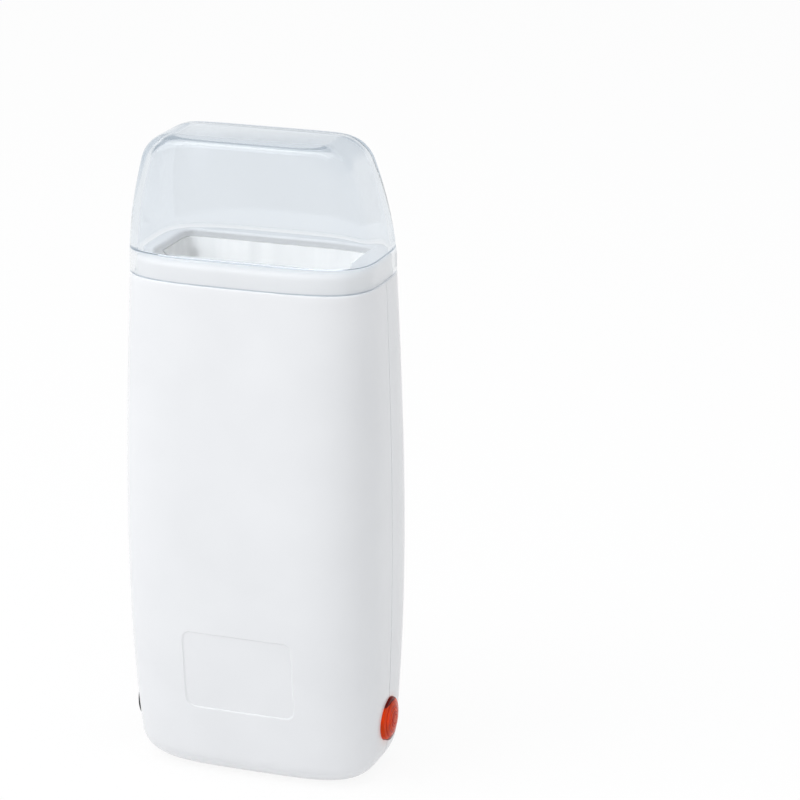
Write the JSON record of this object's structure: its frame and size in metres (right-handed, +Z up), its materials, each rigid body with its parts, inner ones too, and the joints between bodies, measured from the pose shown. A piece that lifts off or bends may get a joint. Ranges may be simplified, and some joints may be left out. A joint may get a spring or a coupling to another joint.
{
  "type": "roll on wax heater",
  "caption": "Upright split-shell heater with a heated metal tub in its mouth for a roll-on wax cartridge, a clear lift-off lid, a pilot lamp and a mains inlet.",
  "frame": {"origin": "under the middle of the foot, on the surface the heater stands on", "axes": "+Z up; the front with the rating-label recess faces -Y; +X is the side with the pilot lamp, -X the side with the mains inlet"},
  "size_m": [0.0855, 0.057, 0.2074],
  "materials": {
    "front_shell": "glossy white, moulded",
    "rear_shell": "glossy white, moulded",
    "case_screws": "plated",
    "mouth_collar": "glossy white, moulded",
    "lid": "clear, glossy",
    "heating_tub": "drawn, satin",
    "ptc_heater": "satin",
    "heater_film": "amber film",
    "clamp_strap": "plated",
    "stud_nuts": "plated",
    "thermostat_cap": "pressed",
    "thermostat_body": "dark moulded",
    "thermostat_tabs": "plain",
    "thermal_fuse": "plain",
    "fuse_clip": "pressed",
    "lamp_lens": "clear amber red",
    "lens_washer": "sprung",
    "neon_lamp": "clear",
    "lamp_resistor": "lacquered",
    "inlet_body": "black moulded",
    "inlet_pins": "nickel plated",
    "spade_terminals": "insulated",
    "line_lead": "insulated wire",
    "fuse_lead": "glass sleeve",
    "heater_lead": "glass sleeve",
    "neutral_lead": "insulated wire",
    "lamp_line_lead": "insulated wire",
    "lamp_neutral_lead": "insulated wire"
  },
  "bodies": {
    "heater": {"front_shell": "front_shell", "rear_shell": "rear_shell", "case_screws": "case_screws", "mouth_collar": "mouth_collar", "heating_tub": "heating_tub", "ptc_heater": "ptc_heater", "heater_film": "heater_film", "clamp_strap": "clamp_strap", "stud_nuts": "stud_nuts", "thermostat_cap": "thermostat_cap", "thermostat_body": "thermostat_body", "thermostat_tabs": "thermostat_tabs", "thermal_fuse": "thermal_fuse", "fuse_clip": "fuse_clip", "lamp_lens": "lamp_lens", "lens_washer": "lens_washer", "neon_lamp": "neon_lamp", "lamp_resistor": "lamp_resistor", "inlet_body": "inlet_body", "inlet_pins": "inlet_pins", "spade_terminals": "spade_terminals", "line_lead": "line_lead", "fuse_lead": "fuse_lead", "heater_lead": "heater_lead", "neutral_lead": "neutral_lead", "lamp_line_lead": "lamp_line_lead", "lamp_neutral_lead": "lamp_neutral_lead"},
    "lid": {"lid": "lid"}
  },
  "joints": [
    {"name": "lid_lift", "type": "slide", "parent": "heater", "child": "lid", "axis": [0, 0, 1], "range_m": [0, 0.08]}
  ]
}
